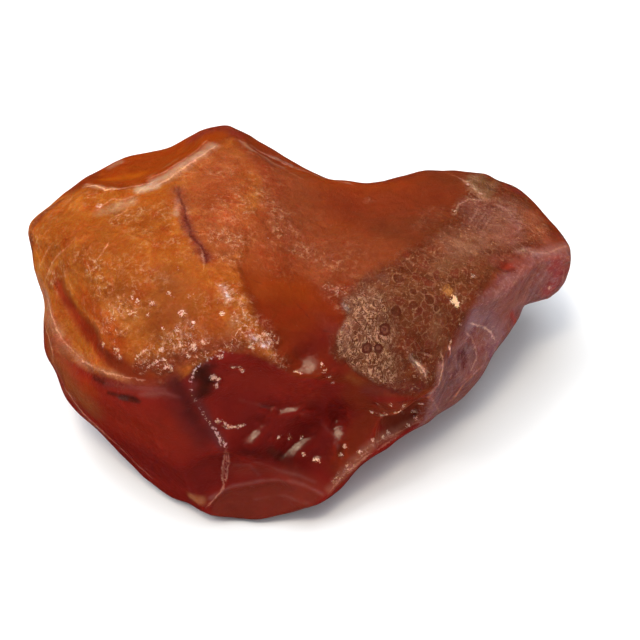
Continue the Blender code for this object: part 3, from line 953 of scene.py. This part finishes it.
chips_mask = mask("chips")
mottle = clouds(2.6, 5.0, 0.6, 0.4)
speck = clouds(0.6, 4.0, 0.65)
fine = clouds(0.22, 3.0, 0.6)
frosted = mask("frost")
ground_tone = m.node("ShaderNodeAttribute", {"attribute_name": "ground"}, output=0)
coats = Coats(m.vector("SCALE", ground_tone, scale=0.76 + 0.48 * mottle + 0.06 * speck))
coats.tint((1.05, 0.55, 0.6), mottle.between(0.5, 0.85) * 0.4)
pools = clouds(2.8, 2.0, 0.5, 0.8)
coats.tint((0.86, 0.66, 0.42), frosted * pools.between(0.47, 0.33) * 0.7)
coats.tint((1.35, 1.6, 1.6), frosted * pools.between(0.50, 0.68) * 0.7)
coats.tint((1.0, 0.60, 0.6), frosted * clouds(1.5, 2.0, 0.5).between(0.52, 0.70) * 0.6)
coats.tint((1.3, 1.6, 2.0), frosted * clouds(0.9, 2.0, 0.5, 0.6).between(0.55, 0.70) * 0.5)
grainy = 1 - mask("polish")
coats.tint((1.18, 1.30, 1.38), grainy * speck.between(0.50, 0.64) * 0.5)
coats.tint((0.84, 0.70, 0.68), grainy * clouds(1.0, 3.0, 0.6).between(0.48, 0.36) * 0.5)

# scuffed skin: a net of pale hairlines, with frosted flecks between them
net = clouds(0.8, 3.0, 0.6, 0.5) - 0.5
hairs = 1 - (net * net).between(0.0002, 0.0035)
scuffed = mask("scuffs")
bloom = frosted * (0.12 + 0.5 * clouds(3.6, 2.0).between(0.47, 0.60)) + scuffed * 0.6
bloom = bloom * (hairs * speck.between(0.44, 0.60) + fine.between(0.56, 0.68) * 0.35)
coats.over((540, 275, 145), bloom.bounded() * 0.6)
coats.tint((1.4, 1.8, 2.4), scuffed * clouds(0.5, 2.0, 0.6).between(0.40, 0.60) * 0.75)

# chipped edges: small flakes, the pale ones partly painted glints, then painted glint flecks and pale
# painted lacework
wisps = clouds(0.42, 2.0, 0.6, 1.2) - 0.5
shard_tone = m.node("ShaderNodeSeparateColor", {}, {0: crazed(0.5, "F1", 1)})
flake_and_glint = clouds(0.55, 3.0, 0.6, 2.2).between(0.54, 0.66) * (0.3 + 0.6 * shard_tone)
coats.tint((1.25, 1.4, 1.9), chips_mask * speck.between(0.42, 0.58) * 0.8)
coats.over((660, 380, 260), chips_mask.between(0.1, 0.7) * flake_and_glint)
threads = 1 - (wisps * wisps).between(0.0004, 0.005)
# painted glints: pale flecks laid into the colour
sparkle = (mask("painted_glint") + threads * 0.22 + wisps + (fine - 0.5) * 1.3 - 0.1).between(0.72, 0.88)
coats.over((760, 470, 360), sparkle * (0.35 + 0.55 * threads))
# painted glints and sheen: pale lacework along the ridge's crest, and silvery painted reflections on the
# dome
painted_glint_lacing = (mask("painted_glint_lace") + wisps * 3.0 + (fine - 0.5) * 1.2).between(0.74, 1.16)
painted_glint_lace_tone = m.mixed(frosted.between(0.1, 0.5), (660, 390, 370), (800, 680, 740))
coats.over(painted_glint_lace_tone, painted_glint_lacing * 0.62)

# crust: brown cells with thin pale walls, some round and dark red
crusted = mask("crust")
wall = 1 - crazed(0.95, "DISTANCE_TO_EDGE").between(0.02, 0.08)
cell_tone = m.node("ShaderNodeSeparateColor", {}, {0: crazed(0.95, "F1", 1)})
cellular = mask("cellular")
patchy = clouds(3.0).between(0.4, 0.6)
grit = clouds(0.33, 3.0, 0.7, 0.4)
coats.over(BRICK, crusted * cell_tone.between(0.7, 0.9) * (0.15 + 0.35 * cellular))
coats.tint((1.4, 1.7, 1.7), crusted * patchy * clouds(0.7, 2.0).between(0.42, 0.58) * 0.6)
coats.tint((0.72, 0.60, 0.52), crusted * clouds(1.6, 2.0).between(0.50, 0.36) * 0.8)
coats.over((310, 140, 75), crusted * wall * speck.between(0.42, 0.56) * (0.1 + 0.38 * cellular))
coats.over((420, 205, 120), crusted * grit.between(0.54, 0.68) * (0.3 + 0.45 * patchy))
ring = mask("cell_edge") + (speck - 0.5) * 0.25
ring_wall = ring.between(-0.04, 0.02) * ring.between(0.16, 0.06)
coats.over((85, 12, 5), ring.between(0.05, -0.05) * 0.55)
coats.over((380, 180, 100), ring_wall * speck.between(0.42, 0.55) * 0.5)

# the glazed grains beside the valley, with pale chatter painted as sheen, three round eyes in them with a
# small painted highlight at their middle, and two pale spots in the crust
EYES = [((384, 330), 0.0), ((366, 348), 0.08), ((378, 348), 0.18)]  # pixel, how much smaller
AMBER_SPOT = [((448, 292), 0.0)]
CREAM_SPOT = [((454, 300), 0.0), ((457, 304), 0.15)]
glazing = mask("glazed")
worms = clouds(0.62, 2.0, 0.5, 2.2, at=m.vector("MULTIPLY", place, (1.0, 0.7, 0.7)))
chatter = 1 - ((worms - 0.5) * (worms - 0.5)).between(0.0002, 0.004)
# pale chatter: painted sheen over the worm-like grain
coats.over((500, 270, 165), glazing * chatter * (0.2 + 0.75 * speck.between(0.42, 0.56)))
coats.tint((0.6, 0.5, 0.45), glazing * (worms - 0.5).between(-0.05, -0.13) * 0.7)
uneven = (speck - 0.5) * 0.35
eye = away_from(*EYES) + uneven
coats.over((85, 12, 6), eye.between(0.74, 0.64) * 0.9)
coats.over((220, 70, 40), eye.between(0.50, 0.34) * (0.35 + 0.65 * fine.between(0.4, 0.6)))
coats.over((100, 16, 8), eye.between(0.26, 0.18) * 0.7)
# a small painted highlight at the middle of the eyes
coats.over((620, 360, 260), eye.between(0.10, 0.04))
amber_spot = (away_from(*AMBER_SPOT) + uneven * 4 + wisps * 1.5).between(0.8, 0.1)
coats.over((520, 210, 55), amber_spot * 0.75)
cream_spot = (away_from(*CREAM_SPOT) + uneven * 2.5 + wisps).between(0.5, 0.34)
coats.over((880, 600, 380), cream_spot * 0.95)

# the flank's fine grain, drawn out down its slope, and its lavender tint, partly painted sheen reflecting
# the pale table
SLOPE_TOP, SLOPE_FOOT = (541, 262), (520, 305)
down_slope = tuple((found_on_stone(SLOPE_FOOT) - found_on_stone(SLOPE_TOP)).normalized())
run = m.vector("DOT_PRODUCT", place, down_slope, output=1)
combed = m.vector("SUBTRACT", place, m.vector("SCALE", down_slope, scale=run * 0.88))
grain_and_sheen_streaks = clouds(0.5, 4.0, 0.7, at=combed)
flanked = mask("flank")
coats.over((320, 135, 115), flanked * grain_and_sheen_streaks.between(0.53, 0.68) * 0.4)
coats.tint((0.65, 0.42, 0.5), flanked * grain_and_sheen_streaks.between(0.46, 0.36) * 0.5)
coats.tint((0.75, 0.55, 0.7), flanked * clouds(2.0, 3.0, 0.6, 1.0).between(0.50, 0.36) * 0.7)
coats.over((270, 150, 165), flanked * clouds(1.5, 4.0, 0.7, 1.5).between(0.52, 0.68) * 0.45)
coats.over((450, 235, 190), flanked * threads * grit.between(0.50, 0.62) * 0.35)

# thin pale seams, some of them painted highlights along rims and ridges, and dark cracks
strayed = (speck - 0.5) * 0.5 + (fine - 0.5) * 0.3
seam_and_sheen_share = abs(mask("seam_and_sheen") + strayed).between(0.17, 0.03) * mask("seam_and_sheen_strength")
seam_and_sheen_tone = m.mixed(0.4, m.vector("SCALE", coats.colour, scale=1.9), (620, 400, 280))
coats.over(seam_and_sheen_tone, seam_and_sheen_share * (0.35 + 0.65 * speck.between(0.4, 0.56)))
crack_share = abs(mask("crack") + strayed).between(0.18, 0.02) * mask("crack_strength")
coats.over((80, 10, 6), crack_share * 0.7)

# shine: a clear coat where the skin is chipped, glazed or scuffed, and on the worn shelves
worn = (chips_mask * 0.5 + glazing * 0.5 + crusted * 0.15 + scuffed * 0.35 + sparkle).bounded()
glinting = frosted * fine.between(0.62, 0.70) * 0.4 + mask("shine") * (0.26 + 0.52 * threads)
coat = (0.03 + worn * 0.95 + glinting + mask("polish") * 0.25).bounded()
still = 1 - 0.45 * mask("shelves")
fine_share = 0.4 + 3.0 * glazing + 4.0 * crusted + 0.8 * frosted + 2.0 * scuffed
speck_share = 0.8 + 2.0 * chips_mask + 3.0 * glazing + 4.0 * crusted + 1.5 * frosted + 3.0 * scuffed
swell = clouds(1.3, 3.0, 0.5) * (1.5 + 6.0 * frosted)
height_map = (fine * fine_share + speck * speck_share + swell) * still
height_map = height_map + crazed(0.5, "F1") * 3.0 * chips_mask + chatter * 1.4 * glazing
bump = m.node("ShaderNodeBump", {}, {"Strength": 1.0, "Distance": 0.1 * MM, "Height": height_map})
shader = m.node(
    "ShaderNodeBsdfPrincipled",
    {"subsurface_method": "RANDOM_WALK"},
    {
        "Base Color": coats.colour,
        "Roughness": 0.38 + 0.12 * (fine - 0.5) + 0.12 * crusted + 0.12 * frosted,
        "IOR": 1.54,
        "Specular IOR Level": 0.12,
        "Coat Weight": coat,
        "Coat Roughness": 0.27,
        "Subsurface Weight": 0.85,
        "Subsurface Radius": (1.0, 0.3, 0.1),
        "Subsurface Scale": 1.5 * MM,
        "Normal": bump,
    },
)
m.node("ShaderNodeOutputMaterial", {}, {0: shader})

worked = stone.modifiers.new("skin relief", "NODES")
worked.node_group = relief_tree
sockets = {item.name: item.identifier for item in relief_tree.interface.items_tree}
for name, value in {**SKIN_RELIEF, "Finish": finish}.items():
    worked[sockets[name]] = value
skin = finished_mesh(stone)
skin.shade_smooth()
lowest, highest = (np.array(corner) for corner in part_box("carnelian"))
places = np.clip(vectors(skin, "places"), lowest, highest)
skin.vertices.foreach_set("co", places.astype(np.float32).ravel())
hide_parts("carnelian")
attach(stone, "root")

# ---------------------------------------------------------------------------------------------
# The table and the light: a pale sheet under one large soft lamp overhead, a smaller one behind
# the left shoulder of the stone, and a weak glow from the room.

SHEET_SIDE = 3.0
SHEET_COLOUR = (0.84, 0.88, 0.93, 1.0)
ROOM_GLOW = 0.35

sheet_mesh = bpy.data.meshes.new("table_sheet")
sheet = bpy.data.objects.new("table_sheet", sheet_mesh)
corner = SHEET_SIDE / 2
sheet_mesh.from_pydata(
    [(-corner, -corner, 0), (corner, -corner, 0), (corner, corner, 0), (-corner, corner, 0)],
    [], [(0, 1, 2, 3)],
)
bpy.context.scene.collection.objects.link(sheet)
paper = bpy.data.materials.new("pale paper")
paper.use_nodes = True
paper.node_tree.nodes["Principled BSDF"].inputs["Base Color"].default_value = SHEET_COLOUR
paper.node_tree.nodes["Principled BSDF"].inputs["Roughness"].default_value = 0.9
paper.node_tree.nodes["Principled BSDF"].inputs["Specular IOR Level"].default_value = 0.0
sheet_mesh.materials.append(paper)
sheet.visible_glossy = False

LAMPS = {  # place in metres, side, power in watts, whether it glints on the stone, colour
    "overhead": ((-0.15, 0.06, 0.68), 0.85, 6.9, False, (1, 1, 1)),
    "shoulder": ((-0.15, 0.15, 0.46), 0.11, 0.35, True, (1, 0.95, 0.9)),
    "front lamp": (FRONT_LAMP, 0.09, 0.7, True, (1, 0.82, 0.57)),
    "left lamp": ((-0.28, -0.13, 0.40), 0.06, 0.3, True, (1, 0.9, 0.8)),
    "right card": ((0.42, -0.12, 0.09), 0.22, 0.5, False, (1, 1, 1)),
}
for name, (where, side, power, glints, tint) in LAMPS.items():
    lamp_data = bpy.data.lights.new(name, "AREA")
    lamp_data.shape = "SQUARE"
    lamp_data.size = side
    lamp_data.energy = power
    lamp_data.color = tint
    lamp = bpy.data.objects.new(name, lamp_data)
    lamp.visible_glossy = glints
    lamp.location = where
    lamp.rotation_euler = (LOOKED_AT - Vector(where)).to_track_quat("-Z", "Y").to_euler()
    bpy.context.scene.collection.objects.link(lamp)

world = bpy.data.worlds.new("room")
world.use_nodes = True
world.node_tree.nodes["Background"].inputs[0].default_value = (1.0, 1.0, 1.0, 1.0)
world.node_tree.nodes["Background"].inputs[1].default_value = ROOM_GLOW
world.cycles_visibility.glossy = False
bpy.context.scene.world = world
